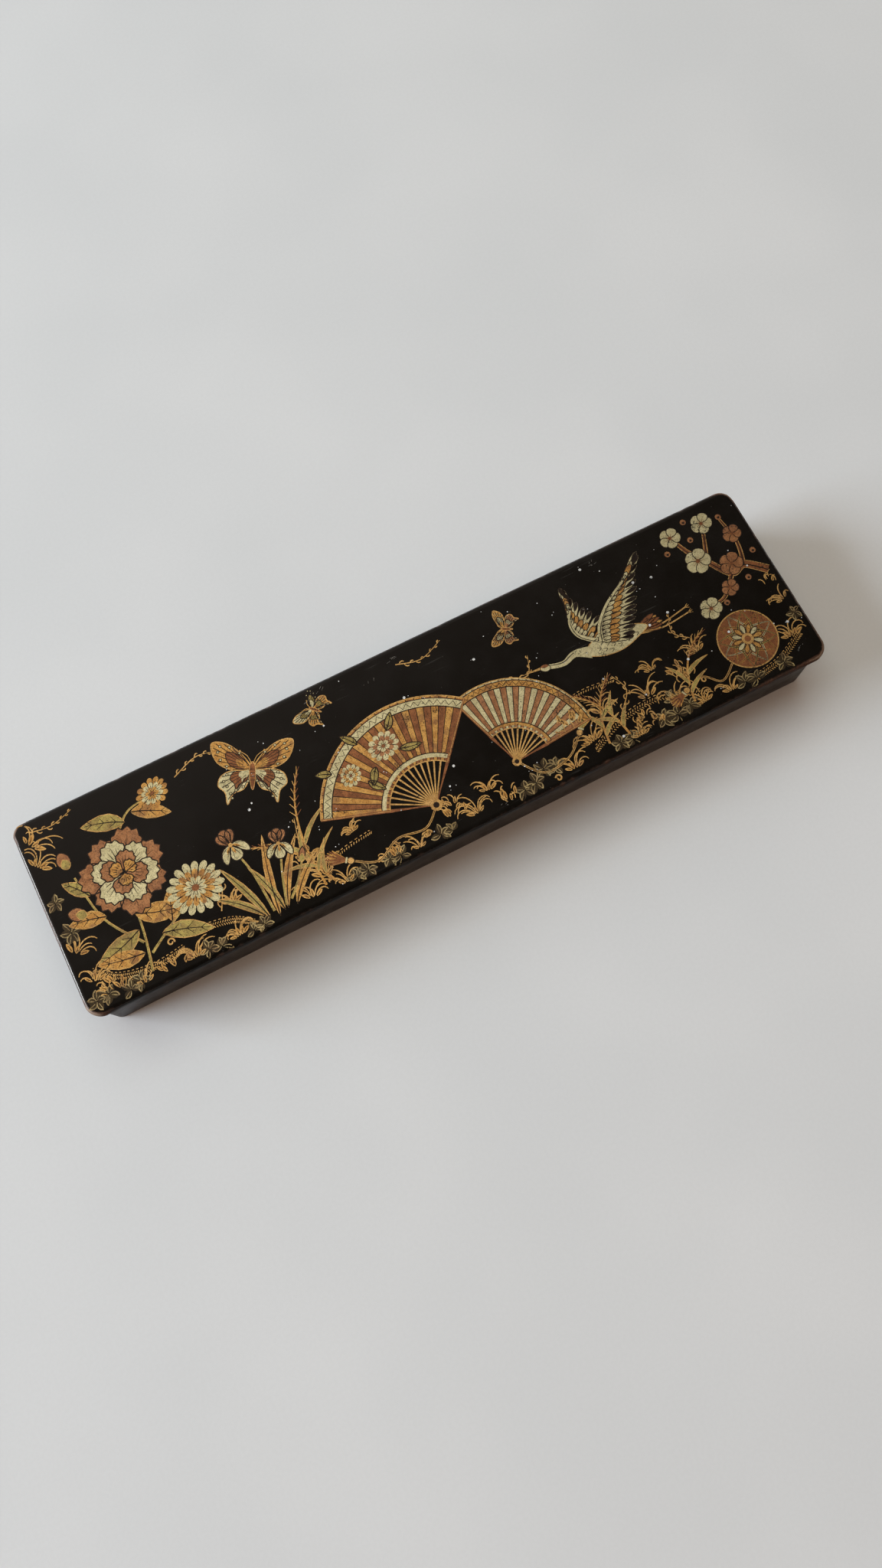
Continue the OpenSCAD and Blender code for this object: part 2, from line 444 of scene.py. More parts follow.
class Art:
    """One decoration piece, drawn shape by shape."""

    def __init__(self, lid_top):
        self.lid_top = lid_top
        self.points, self.faces, self.inks = [], [], []
        self.frames = ()
        self.base = 0

    def up(self, layers):
        """A copy of this drawing hand, some layers up. It adds to the same piece."""
        hand = copy.copy(self)
        hand.base += layers
        return hand

    def at(self, origin, turn=0.0, size=1.0, squash=1.0, side=1, layer=0):
        """A copy of this drawing hand at another place. side is -1 for a mirror image."""
        hand = self.up(layer)
        hand.frames = (*self.frames, (origin, size * way_of(turn), squash, side))
        return hand

    def plan(self, z):
        for origin, way, squash, side in reversed(self.frames):
            z = origin + way * complex(z.real * side, z.imag * squash)
        return z

    def lay(self, placed, layer):
        """Adds the upper and lower points of a shape and returns the number of the first."""
        start = len(self.points)
        lift = PRINT_LIFT + LAYER * (self.base + layer + STAGGER * (len(self.inks) % STAGGER_STEPS))
        tops = [self.lid_top.height(p) for p in placed]
        for rise in (lift, -PRINT_SINK):
            self.points += [(p.real, p.imag, z + rise) for p, z in zip(placed, tops)]
        return start

    def runs_off(self, placed):
        return min(self.lid_top.inside(p) for p in placed) < EDGE_MARGIN

    def close(self, faces, ink):
        self.faces += faces
        self.inks += [ink] * len(faces)

    def fill(self, outline, ink, layer=0):
        placed = [self.plan(z) for z in outline]
        if self.runs_off(placed):
            return
        area = sum((a.conjugate() * b).imag for a, b in zip(placed, placed[1:] + placed[:1]))
        if area < 0:
            placed.reverse()
        n, start = len(placed), self.lay(placed, layer)
        faces = [tuple(range(start, start + n)), tuple(range(start + 2 * n - 1, start + n - 1, -1))]
        faces += [(start + i, start + n + i, start + n + (i + 1) % n, start + (i + 1) % n)
            for i in range(n)]
        self.close(faces, ink)

    def stroke(self, path, widths, ink, layer=0, closed=False):
        """A line of one width, or of a width that goes evenly through several to its end."""
        placed = np.array([self.plan(z) for z in path])
        if self.runs_off(placed):
            return
        tangent = np.roll(placed, -1) - np.roll(placed, 1) if closed else np.gradient(placed)
        side = 1j * tangent / np.maximum(np.abs(tangent), 1e-9)
        widths = np.atleast_1d(widths) / 2
        half = np.interp(np.linspace(0, 1, len(placed)), np.linspace(0, 1, len(widths)), widths)
        half = half * LINE_WEIGHT if ink == LINE else half
        n = len(placed)
        up = self.lay([*(placed + side * half), *(placed - side * half)], layer)
        down = up + 2 * n
        faces = []
        for i in range(n if closed else n - 1):
            j = (i + 1) % n
            faces += [(up + i, up + n + i, up + n + j, up + j),
                (down + j, down + n + j, down + n + i, down + i),
                (up + j, down + j, down + i, up + i),
                (up + n + i, down + n + i, down + n + j, up + n + j)]
        if not closed:
            faces += [(up, down, down + n, up + n),
                (up + 2 * n - 1, down + 2 * n - 1, down + n - 1, up + n - 1)]
        self.close(faces, ink)

    def line(self, path, widths, layer=0):
        self.stroke(path, widths, LINE, layer)

    def shape(self, outline, ink, layer=0, edge=LINE, width=0.2):
        """A filled shape with a drawn outline."""
        self.fill(outline, ink, layer)
        self.stroke(outline, width, edge, layer + 1, closed=True)

    def dot(self, place, r, ink, layer=0, sides=8):
        self.fill([place + r * way for way in ways(sides)], ink, layer)

    def piece(self, name, materials):
        made = add_mesh(name, self.points, self.faces, materials, smooth=False)
        made.data.polygons.foreach_set("material_index", self.inks)
        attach(made, "lid")


def curve(points, steps=5, closed=False):
    """Smooth line through points."""
    p = np.array(points, complex)
    q = np.concatenate([p[-1:], p, p[:2]]) if closed else np.concatenate([p[:1], p, p[-1:]])
    t = np.arange(steps) / steps
    spans = []
    for a, b, c, d in zip(q, q[1:], q[2:], q[3:]):
        spans.append(0.5 * (2 * b + (c - a) * t + (2 * a - 5 * b + 4 * c - d) * t ** 2
            + (3 * b - a - 3 * c + d) * t ** 3))
    line = np.concatenate(spans)
    return list(line if closed else np.append(line, p[-1]))


def way_of(degrees):
    return cmath.rect(1, math.radians(degrees))


def ways(count, first=0.0):
    """Directions spread evenly round a circle."""
    return [way_of(first + 360 * k / count) for k in range(count)]


def direction(start, end):
    return (end - start) / abs(end - start)


def heading(start, end):
    """Direction from one point to another, in degrees."""
    return math.degrees(cmath.phase(end - start))


def petal(base, way, length, width, full=0.6, blunt=0.6, bend=0.0, steps=7):
    """Outline of a petal or leaf, widest at full. blunt goes from 0.4, round, to 1, pointed."""
    power = math.log(0.5) / math.log(full)
    sides = []
    for side in (-1, 1):
        for k in range(steps + 1) if side < 0 else range(steps - 1, 0, -1):
            t = 0.5 - 0.5 * math.cos(math.pi * k / steps)
            half = width / 2 * math.sin(math.pi * t ** power) ** blunt if 0 < t < 1 else 0
            sides.append(base + way * complex(length * t, bend * length * t * t + side * half))
    return sides


def spine(base, way, length, bend, start, end, steps=5):
    """Middle line of a petal of the same base, way, length and bend."""
    places = (start + (end - start) * k / steps for k in range(steps + 1))
    return [base + way * complex(length * t, bend * length * t * t) for t in places]


def leaf(art, base, angle, length, width, ink, bend, veins=3, edge=BRIGHT):
    way = way_of(angle)
    art.shape(petal(base, way, length, width, 0.45, 0.85, bend), ink, 0, edge, 0.26)
    art.line(spine(base, way, length, bend, 0.0, 0.92), (0.3, 0.12), 2)
    for k in range(veins):
        t = 0.2 + 0.55 * k / (veins - 1)
        root = spine(base, way, length, bend, t, t, 1)[0]
        reach = width * 0.36 * (1 - 0.55 * abs(t - 0.4))
        for side in (-1, 1):
            tip = root + way * complex(length * 0.14, side * reach + bend * length * 0.28 * t)
            art.line([root, tip], (0.2, 0.1), 2)


def chrysanthemum(art, r, petals, ink, second_ink):
    """Flower head of three rings of narrow petals."""
    rings = ((0.42, 1.0, petals, ink, 0.0), (0.22, 0.7, petals - 3, second_ink, 0.5),
        (0.06, 0.42, petals - 7, ink, 0.2))
    for number, (inner, outer, count, colour, offset) in enumerate(rings):
        hand = art.up(4 * number)
        hand.dot(0, r * (inner + outer) * 0.52, LINE, 0, 24)
        wide = 2 * math.pi * r * (inner + 0.62 * (outer - inner)) / count * 0.9
        for k, way in enumerate(ways(count, 360 * offset / count)):
            long = r * (outer - inner) * (1.0 if k % 3 else 0.95)
            hand.fill(petal(inner * r * way, way, long, wide, 0.66, 0.5, steps=6), colour, 1)
            hand.line([(inner + 0.15 * outer) * r * way, (inner * 0.3 + 0.62 * outer) * r * way],
                (0.22, 0.08), 2)
    art.dot(0, 0.13 * r, RUST, 13, 10)
    for k in range(7):
        art.dot(cmath.rect(0.08 * r, k * 0.9), 0.12, LINE, 14, 5)


def shell_petal(base, way, length, spread, steps=20):
    """Broad petal with a lobed rim, fanned out from base by spread degrees to each side."""
    rim = [base]
    for u in np.linspace(-1, 1, steps + 1):
        reach = length * (1 - 0.36 * abs(u) ** 2.6) * (1 + 0.045 * math.cos(5 * math.pi * u))
        rim.append(base + reach * way * way_of(spread * u))
    return rim


def peony(art, r):
    """Full flower of overlapping lobed petals with fine veins."""
    for count, first, reach, spread, ink in ((7, 0, 1.0, 34, ROSE), (6, 25, 0.76, 38, CREAM),
            (4, 50, 0.52, 46, ROSE), (3, 10, 0.33, 58, GOLD)):
        for k, way in enumerate(ways(count, first)):
            base = 0.08 * r * reach * way
            length = r * reach * (1.0 if k % 2 else 0.93)
            art.shape(shell_petal(base, way, length, spread), ink, 0, LINE, 0.28)
            for vein in (-0.62, -0.3, 0.0, 0.3, 0.62):
                line = length * way * way_of(spread * vein)
                art.line([base + line * 0.45, base + line * (0.82 - 0.25 * abs(vein))], (0.22, 0.07), 1)
            art = art.up(1)
    for k in range(9):
        art.dot(cmath.rect(0.1 * r, 0.7 * k), 0.17, RUST, 1, 5)


def blossom(art, r, ink):
    """Five-petalled blossom with stamens."""
    for k, way in enumerate(ways(5, 90)):
        art.shape(petal(0.1 * r * way, way, 0.92 * r, 0.98 * r, 0.6, 0.42), ink, 2 * k)
    for k, way in enumerate(ways(10, 18)):
        art.stroke([0.12 * r * way, (0.5 - 0.12 * (k % 2)) * r * way], (0.16, 0.1), RUST, 10)
    art.dot(0, 0.17 * r, RUST, 11)


def folding_fan(art, r, spread, sticks, leaf_ink, pleat_ink, band_ink):
    """Open folding fan about its rivet, which points up when not turned."""
    low, high = 90 - spread / 2, 90 + spread / 2

    def arc(reach, a, b, steps=40):
        return [r * reach * way_of(t) for t in np.linspace(a, b, steps)]

    def sector(a, b, inner, outer, steps=40):
        return arc(outer, a, b, steps) + arc(inner, b, a, steps)

    for k in range(sticks + 1):
        way = r * way_of(low + spread * k / sticks)
        thick, ink = (1.1, RUST) if k in (0, sticks) else (0.55, BRIGHT)
        art.stroke([-0.05 * way, 0.2 * way, 0.416 * way], (0.5, 0.42, thick), ink)
    art.fill(sector(low, high, 0.4, 1.0), leaf_ink, 1)
    angles = np.linspace(low, high, sticks * 2 + 1)
    for a, b in zip(angles[:-1:2], angles[1::2]):
        art.fill(sector(a, b, 0.408, 0.985, 3), pleat_ink, 2)
    for angle in angles:
        art.line([0.4 * r * way_of(angle), r * way_of(angle)], (0.14, 0.2), 3)
    for inner, outer in ((0.9, 0.975), (0.43, 0.47)):
        art.fill(sector(low + 0.6, high - 0.6, inner, outer), band_ink, 4)
    waves = sticks * 4
    zigzag = [way_of(low + 1 + (spread - 2) * k / waves) * r * (0.915 if k % 2 else 0.96)
        for k in range(waves + 1)]
    art.line(zigzag, 0.2, 5)
    for reach, ink, thick in ((0.9, LINE, 0.25), (0.975, LINE, 0.2), (0.47, LINE, 0.22),
            (1.0, BRIGHT, 0.36), (0.4, BRIGHT, 0.34)):
        art.stroke(arc(reach, low, high), thick, ink, 6)
    for angle in (low, high):
        guard = [0.4 * r * way_of(angle), r * way_of(angle)]
        art.stroke(guard, (0.9, 0.7), RUST, 7)
        art.stroke(guard, 0.16, BRIGHT, 8)
    art.dot(0, 0.055 * r, BRIGHT, 8, 10)
    art.dot(0, 0.028 * r, LINE, 9)


def tassel(art, cord, ink, length):
    """A silk cord with a knot and a tassel at its end."""
    line = curve(cord, 6)
    art.stroke(line, 0.62, BRIGHT)
    art.line(line, 0.16, 1)
    end, way = line[-1], direction(line[-3], line[-1])
    art.shape(petal(end - 0.6 * way, way, 2.4, 2.2, 0.5, 0.5), BRIGHT, 2, LINE, 0.24)
    for k in range(9):
        strand = spine(end + 1.4 * way, way * way_of(-22 + 5.5 * k), length * (1 - 0.012 * (k - 4) ** 2),
            0.01 * (k - 4), 0, 1, 4)
        art.stroke(strand, (0.5, 0.62, 0.3), ink if k % 2 else GOLD, 1 + k % 2)
    art.stroke([end + (1.9+0.9j) * way, end + (1.9-0.9j) * way], 0.5, CREAM, 4)


def butterfly(art, fore, hind, mark):
    """Butterfly with a wing span of about 2 of its own units, head up."""
    fore_wing = [0.04+0.1j, 0.3+0.52j, 0.66+0.8j, 0.98+0.82j, 0.97+0.52j, 0.8+0.22j,
        0.42 + 0.04j]
    hind_wing = [0.03+0.02j, 0.42+0.05j, 0.74-0.08j, 0.83-0.36j, 0.66-0.56j, 0.6-0.88j,
        0.47 - 0.6j, 0.22-0.48j, 0.08-0.22j]
    for side in (1, -1):
        for outline, ink, level in ((hind_wing, hind, 0), (fore_wing, fore, 5)):
            half = art.at(0, side=side, layer=level)
            root = outline[0]
            rim = [z - root for z in curve(outline, 5, closed=True)]
            half.shape([root + z for z in rim], ink, 0, BRIGHT, 0.3)
            half.shape([root + 0.6 * z + 0.03 for z in rim], mark, 2)
            half.fill([root + 0.34 * z + 0.03 for z in rim], ink, 4)
            for z in rim[5:-5:3]:
                half.line([root + 0.2 * z, root + 0.94 * z], (0.12, 0.2), 4)
            for z in rim[6:-5:4]:
                half.dot(root + 0.83 * z, 0.045, LINE, 4, 7)
                half.dot(root + 0.83 * z, 0.026, CREAM, 5, 6)
        feeler = curve([0.02+0.2j, 0.12+0.42j, 0.3+0.56j], 4)
        half.stroke(feeler, (0.26, 0.2), BRIGHT, 4)
        half.dot(feeler[-1], 0.03, BRIGHT, 4, 6)
    art.shape(petal(0.26j, -1j, 0.78, 0.15, 0.35, 0.5), RUST, 9, BRIGHT)
    for height in (0.05, -0.05, -0.15, -0.25):
        art.line([-0.06 + height * 1j, 0.06 + height * 1j], 0.14, 11)


def wing(art, edge, angles, lengths, count):
    """Bird's wing: long quills, coverts and scales laid from a leading edge, tip first."""
    line = curve(edge, 10)
    rows = ((1.0, 2.3, CREAM, 0), (0.56, 1.9, GOLD, 1), (0.3, 1.5, CREAM, 3))
    for row, (reach, width, ink, more) in enumerate(rows):
        hand = art.up(4 * row)
        for k in reversed(range(count + more)):
            t = k / (count + more - 1)
            root = line[round(t * (len(line) - 1))]
            length = np.interp(t, (0, 0.35, 1), lengths) * reach
            way = way_of(np.interp(t, (0, 0.5, 1), angles))
            hand.shape(petal(root, way, length, width, 0.68, 0.5, steps=6), ink, k % 2)
            if row == 0:
                dark = petal(root + 0.62 * length * way, way, 0.36 * length, 0.62 * width, 0.6, 0.6)
                hand.fill(dark, LINE, 2)
            hand.line([root, root + 0.6 * length * way], (0.2, 0.08), 3)
    art.stroke(line, (1.5, 1.2, 0.5), CREAM, 12)
    art.line([z - 0.5j for z in line], (0.2, 0.2, 0.1), 13)


def crane(art):
    """Flying crane with raised wings, its head to the left."""
    wing(art, [-4+3j, -8+8j, -8+13j, -5+17j], (8, 40, 78), (9, 10, 9), 10)
    for lift in (0.0, 1.3):
        leg = curve([9-3j, 17 - (4.4 + lift) * 1j, 27 - (4.2 + lift * 1.6) * 1j], 5)
        art.stroke(leg, (0.55, 0.4), BRIGHT, 2)
        for toe in (-30, 0, 25):
            art.stroke([leg[-1], leg[-1] + 1.7 * way_of(toe)], (0.3, 0.15), BRIGHT, 2)
    for k in range(6):
        tail = petal(9-1.2j, way_of(-30 + 8 * k), 9.5 - 0.4 * abs(k - 2), 2.0)
        art.shape(tail, RUST if k % 2 else GOLD, 3 + k % 2)
    body = [-10+1.6j, -4+4.2j, 3+3.6j, 9+1.2j, 13-2j, 8-3.6j, 1-4.2j, -6-2.2j]
    art.shape(curve(body, 5, closed=True), CREAM, 6, BRIGHT, 0.26)
    for row in range(4):
        for k in range(5 - row % 2):
            scale = complex(-5 + 3.4 * k + 1.7 * (row % 2), -2.4 + 1.35 * row)
            art.line(curve([scale - 0.8 + 0.6j, scale + 0.5, scale - 0.8 - 0.6j], 3), (0.12, 0.2, 0.12), 8)
    neck = curve([-8+1j, -13+3.6j, -18+3j, -23.5+5.2j], 6)
    art.stroke(neck, (4.2, 2.2, 1.7, 1.5), CREAM, 9)
    art.line([z + 0.4j for z in neck[6:]], (0.2, 0.25, 0.1), 10)
    art.shape(petal(-22.3+4.5j, way_of(158), 3.6, 2.5, 0.45, 0.5), CREAM, 10, LINE, 0.18)
    art.fill(petal(-22.6+5.4j, way_of(160), 2.6, 1.2, 0.5, 0.5), RUST, 12)
    art.stroke([-25.2+5.9j, -31+7.2j], (0.8, 0.15), BRIGHT, 11)
    art.dot(-24.2+5.5j, 0.26, LINE, 13, 6)
    wing(art.up(13), [-3+2j, 0+7j, 7+12j, 16+15.5j], (-24, -6, 30), (11, 14, 12), 13)


def thread_ball(art, r):
    """Ball wound with coloured thread in crossing bands."""
    art.shape([r * way for way in ways(40)], RUST, 0, BRIGHT, 0.4)
    for k, way in enumerate(ways(12)[:6]):
        for side in (1, -1):
            band = [way * r * complex(0.97 * u, side * 0.3 * (1 - u * u)) for u in np.linspace(-1, 1, 13)]
            art.stroke(band, (0.2, 0.95, 0.2), (CREAM, GOLD, OLIVE)[k % 3], 2 + k % 3)
            art.line(band, (0.1, 0.2, 0.1), 5)
    for k, way in enumerate(ways(12, 15)):
        art.shape(petal(0.16 * r * way, way, 0.36 * r, 0.16 * r), GOLD if k % 2 else CREAM, 7, LINE, 0.18)
    art.dot(0, 0.2 * r, BRIGHT, 9, 12)
    art.dot(0, 0.11 * r, RUST, 10, 10)


def turning(root, angle, length, hook, steps=9, power=1.8, tighten=0.0):
    """A line that sets off at an angle and turns by hook degrees in all, most of it towards its end."""
    path = [root]
    for k in range(steps):
        t = (k + 0.5) / steps
        path.append(path[-1] + length / steps * (1 - tighten * t) * way_of(angle + hook * t ** power))
    return path


def blade(art, root, angle, length, hook, layer, width=0.38):
    art.stroke(turning(root, angle, length, hook), [width * w for w in (0.5, 0.85, 1.0, 0.95, 0.6)], BRIGHT,
        layer)


def leaflet(art, root, angle, length, layer, bend):
    """Small outlined leaf with a dark slit."""
    way = way_of(angle)
    art.shape(petal(root, way, length, 0.4 * length, 0.5, 0.8, bend, 5), GOLD, layer, BRIGHT)
    art.line(spine(root, way, length, bend, 0.15, 0.75, 3), (0.22, 0.08), layer + 2)


def tuft(art, size, draw):
    """Tuft of grass: hooked blades over a foot of small leaves."""
    blades, leaves = draw.choice((6, 7, 8)), draw.choice((3, 4, 5))
    for k in range(blades):
        u = -1 + 2 * (k + draw.uniform(0.2, 0.8)) / blades
        root = complex(0.16 * u, draw.uniform(0, 0.1)) * size
        side = math.copysign(1, u + draw.uniform(-0.3, 0.3))
        angle = 90 - 34 * u + draw.uniform(-8, 8)
        length = size * draw.uniform(0.6, 1.2) * (1 - 0.2 * u * u)
        blade(art, root, angle, length, -side * draw.uniform(60, 175), k % 2)
    for k in range(leaves):
        u = -1 + 2 * (k + 0.5) / leaves
        length = max(1.5, size * draw.uniform(0.24, 0.4))
        leaflet(art, 0.24 * u * size, 90 - 62 * u, length, 2, -0.3 * u)


def thicket(art, wide, rows, draw):
    """Rows of small upright leaves and hooks, narrower towards the top."""
    for row in range(rows):
        reach, layer = wide * (1 - 0.55 * row / rows), 3 * (rows - row)
        for _ in range(max(2, round(reach / 1.25))):
            x = draw.uniform(-0.5, 0.5) * reach
            root = complex(x, 1.35 * row + draw.uniform(-0.5, 0.5))
            angle = 90 - 55 * x / wide + draw.uniform(-28, 28)
            if draw.random() < 0.5:
                leaflet(art, root, angle, draw.uniform(1.7, 2.7), layer, draw.uniform(-0.4, 0.4))
            else:
                length = draw.uniform(1.9, 3.4)
                blade(art, root, angle, length, draw.choice((-1, 1)) * draw.uniform(50, 150), layer, 0.36)


def bush(art, r, heads, draw):
    """Low plant of broad dark leaves in groups, each leaf with one lit edge and a lit rib."""
    for head in range(heads):
        centre = r * complex((head - (heads - 1) / 2) * 1.4, draw.uniform(-0.35, 0.35))
        first = draw.uniform(0, 72)
        for k in range(5):
            way = way_of(first + 72 * k + draw.uniform(-14, 14))
            base = centre + 0.08 * r * way
            length, bend = r * draw.uniform(0.85, 1.2), draw.uniform(-0.3, 0.3)
            rim = petal(base, way, length, 0.74 * r, 0.52, 0.7, bend, 6)
            lit = rim[:7] if k % 2 else rim[:1] + rim[:5:-1]
            art.fill(rim, MOSS, k % 2)
            art.stroke(lit, (0.06, 0.3, 0.44), STRAW, 3)
            art.stroke(spine(base, way, length, bend, 0.2, 0.9, 3), (0.08, 0.3, 0.16), STRAW, 3)


def hatched_ground(art, path, rows):
    """Ground line: a row of dashes over rows of short slanting ticks."""
    line = curve(path, 16)
    for k in range(2, len(line) - 2, 2):
        art.stroke([line[k] + 1.2j, line[k + 1] + 1.2j], (0.26, 0.22), BRIGHT)
    for row in range(rows):
        for before, here, after in zip(line, line[1:], line[2:]):
            way = direction(before, after)
            root = here - 0.95j * way * row
            art.stroke([root, root + 0.75 * way * way_of(58 + 62 * (row % 2))], (0.2, 0.28), BRIGHT)


def fern(art, path, size, draw):
    """Stem with pairs of small hooked leaves."""
    line = curve(path, 5)
    art.stroke(line, (0.34, 0.3, 0.14), BRIGHT)
    for k in range(1, len(line) - 1):
        reach = size * (1.1 - 0.6 * k / len(line)) * draw.uniform(0.8, 1.15)
        side = 1 if k % 2 else -1
        angle = heading(line[k - 1], line[k + 1]) + side * 62
        blade(art, line[k], angle, reach, -side * 110, 0, 0.37)


def reed(art, root, angle, length, hook):
    """Tall stem with long leaves and a feathery head."""
    line = turning(root, angle, length, hook, 16, 1.5)
    art.stroke(line, (0.75, 0.6, 0.42), GOLD)
    for k, side in ((2, 1), (4, -1), (6, 1)):
        way = way_of(heading(line[k], line[k + 1]) - side * 24)
        art.shape(petal(line[k], way, 0.36 * length, 1.3, 0.35, 0.8, -side * 0.4), OLIVE, 1, BRIGHT, 0.22)
    for k in range(10, 17):
        for side, ink in ((-1, RUST), (1, BRIGHT)):
            tip = line[k] + direction(line[k - 1], line[k]) * complex(1.9, side * 0.22 * (18 - k))
            art.stroke([line[k], tip], (0.3, 0.5, 0.14), ink, 2)


def iris(art):
    """Iris flower seen from the side: three standards over three veined falls, of about unit length."""
    for angle, length, width in ((62, 0.95, 0.52), (118, 0.95, 0.52), (90, 1.0, 0.66)):
        art.shape(petal(0, way_of(angle), length, width, 0.64, 0.45), ROSE, 0, LINE, 0.26)
        for lean in (-9, 0, 9):
            way = way_of(angle + lean)
            art.line([0.25 * way, 0.8 * way], (0.16, 0.08), 2)
    for angle, length, width, bend in ((-22, 1.05, 0.56, -0.4), (202, 1.05, 0.56, 0.4), (-90, 1.0, 0.72, 0)):
        way = way_of(angle)
        art.shape(petal(0, way, length, width, 0.66, 0.42, bend), CREAM, 3, LINE, 0.26)
        art.fill(petal(0.05 * way, way, 0.5, 0.16, 0.6, 0.8, bend), GOLD, 5)
        for lean in (-14, 14):
            vein = way * way_of(lean)
            art.line([0.3 * vein, 0.8 * (vein + 0.5j * bend * way)], (0.18, 0.08), 5)
    art.dot(0, 0.13, BRIGHT, 6)


def flower_stem(art, path):
    line = curve(path, 6)
    art.stroke(line, (0.85, 0.7, 0.5), OLIVE)
    art.stroke([z + 0.28 for z in line], (0.2, 0.14), BRIGHT, 1)


def draw_flowers(art):
    """Peony and chrysanthemum plant at the left end."""
    for path in ([-103-27j, -101-16j, -100-4j], [-101-22j, -93-17j, -84-12j],
            [-102-18j, -110-6j, -113+9j], [-100+10j, -92+20j, -84+22j]):
        flower_stem(art.up(4), path)
    for base, angle, length, width, ink, bend in ((-102-14j, 205, 15, 6.0, OLIVE, -0.15),
            (-101-9j, -28, 15, 6.2, GOLD, 0.2), (-109-6j, 160, 11, 5.0, GOLD, 0.15),
            (-103-21j, 175, 14, 5.2, GOLD, -0.1), (-96-18j, -12, 15, 5.4, OLIVE, -0.15),
            (-93+18j, 150, 13, 5.4, OLIVE, 0.2), (-90+20j, -18, 12, 4.8, GOLD, -0.15),
            (-92-16j, 70, 9, 4.4, GOLD, 0.1), (-111+2j, 120, 9, 4.2, OLIVE, 0.2)):
        leaf(art.up(6), base, angle, length, width, ink, bend)
    peony(art.at(-99+4j, 12, layer=10), 12.5)
    chrysanthemum(art.at(-82-10j, 8, squash=0.9, layer=10), 9.0, 17, CREAM, GOLD)
    chrysanthemum(art.at(-82+22.5j, 30, squash=0.8, layer=10), 5.6, 13, GOLD, CREAM)
    for place, turn in ((-113.5+12.5j, 100), (-114-3j, 150)):
        bud = art.at(place, turn)
        bud.shape(petal(0j, 1, 5.6, 4.2, 0.5, 0.6), ROSE, 8, LINE, 0.24)
        bud.shape(petal(-0.2+0j, 1, 3.4, 3.0, 0.45, 0.8), OLIVE, 10, BRIGHT)


def draw_irises(art):
    """Clump of irises between the flowers and the fans."""
    for base, angle, length, bend in ((-66-28j, 104, 21, 0.12), (-63-29j, 84, 25, -0.1),
            (-60-28j, 72, 22, -0.22), (-67-27j, 122, 15, 0.25), (-57-28j, 60, 17, -0.3),
            (-61-28j, 95, 17, 0.2)):
        leaf(art.up(5), base, angle, length, 2.3, OLIVE if bend > 0 else GOLD, bend, 0)
    for path, place, turn, r in (([-64-27j, -65-14j, -67-6j], -67.5-3j, 10, 5.4),
            ([-60-27j, -57-17j, -55-12j], -54.5-9j, -14, 4.8)):
        flower_stem(art.up(8), path)
        iris(art.at(place, turn, r, layer=10))
    bud = art.at(-50.5-17j, 62)
    bud.shape(petal(0j, 1, 4.4, 1.9, 0.5, 0.8), ROSE, 9, LINE, 0.24)
    bud.shape(petal(-0.3+0j, 1, 2.6, 1.7, 0.4, 0.8), OLIVE, 10, BRIGHT)
    flower_stem(art.up(7), [-58-26j, -54-22j, -50.5-17j])


def draw_butterflies(art):
    butterfly(art.at(-52+15j, -24, 12.6, 0.92, layer=10), GOLD, CREAM, RUST)
    butterfly(art.at(-27+24.5j, 44, 6.2, 0.85, layer=10), CREAM, GOLD, OLIVE)
    butterfly(art.at(38+21j, 62, 6.0, 0.8, layer=10), GOLD, ROSE, CREAM)


def draw_fans(art):
    """Two open fans with silk cords in the middle of the lid."""
    folding_fan(art.at(21-19j, -34, layer=2), 27, 104, 11, CREAM, ROSE, GOLD)
    folding_fan(art.at(-7-20j, 15, layer=14), 35, 112, 13, GOLD, RUST, CREAM)
    chrysanthemum(art.at(-13+4j, 20, squash=0.85, layer=24), 5.2, 12, CREAM, ROSE)
    chrysanthemum(art.at(-26+0j, 50, squash=0.85, layer=24), 3.8, 11, CREAM, GOLD)
    for base, angle, length in ((-9+1j, -20, 7), (-10+8j, 45, 6), (-20+8j, 120, 6),
            (-22-4j, -60, 6), (-31+3j, 150, 5), (-18-1j, 230, 6)):
        leaf(art.up(23), base, angle, length, 2.6, OLIVE, 0.15, 2, LINE)
    tassel(art.up(12), [-7-20j, -13-25j, -22-24j, -30-27.5j, -37-24j], RUST, 7)
    tassel(art.up(2), [21-19j, 27-26j, 36-25j, 42-20j], OLIVE, 6)


def draw_crane(art):
    crane(art.at(66+2j, 8, 0.94, layer=4))


def draw_branch(art):
    """Flowering branch from the right end, and a thread ball under it."""
    for path, widths in (([122+1j, 116+6j, 111+5j, 106+12j, 102+18j, 99+26j], (2.6, 1.8, 0.7)),
            ([111+5j, 105-1j, 99-2j], (1.3, 0.5)), ([106+12j, 109+19j, 112+26j], (1.2, 0.5)),
            ([116+6j, 118+14j, 117+23j], (1.2, 0.5))):
        line = curve(path, 5)
        art.stroke(line, [w + 0.4 for w in widths], BRIGHT, 4)
        art.stroke(line, widths, RUST, 5)
        art.line([z - 0.25j for z in line], (0.3, 0.15), 6)
    for place, r, ink in ((103.5+13.5j, 4.5, CREAM), (112.5+8j, 4.1, ROSE), (99.5+24.5j, 3.7, CREAM),
            (111+24.5j, 3.8, CREAM), (99-2.5j, 3.9, CREAM), (118+17j, 3.3, ROSE),
            (108+1j, 3.0, ROSE)):
        blossom(art.at(place, 9 * r, squash=0.92, layer=8), r, ink)
    for place in (105+21j, 117+24j, 104.5-3j, 115+1.5j, 96+20j, 121+9j, 106+27.5j):
        art.dot(place, 1.0, ROSE, 8, 10)
        art.dot(place - 0.2j, 0.45, LINE, 9, 6)
    thread_ball(art.at(104-16.5j, 12, layer=6), 9.6)
    tassel(art.up(4), [96-21j, 90-25j, 85-21j, 79-22.5j], RUST, 6)


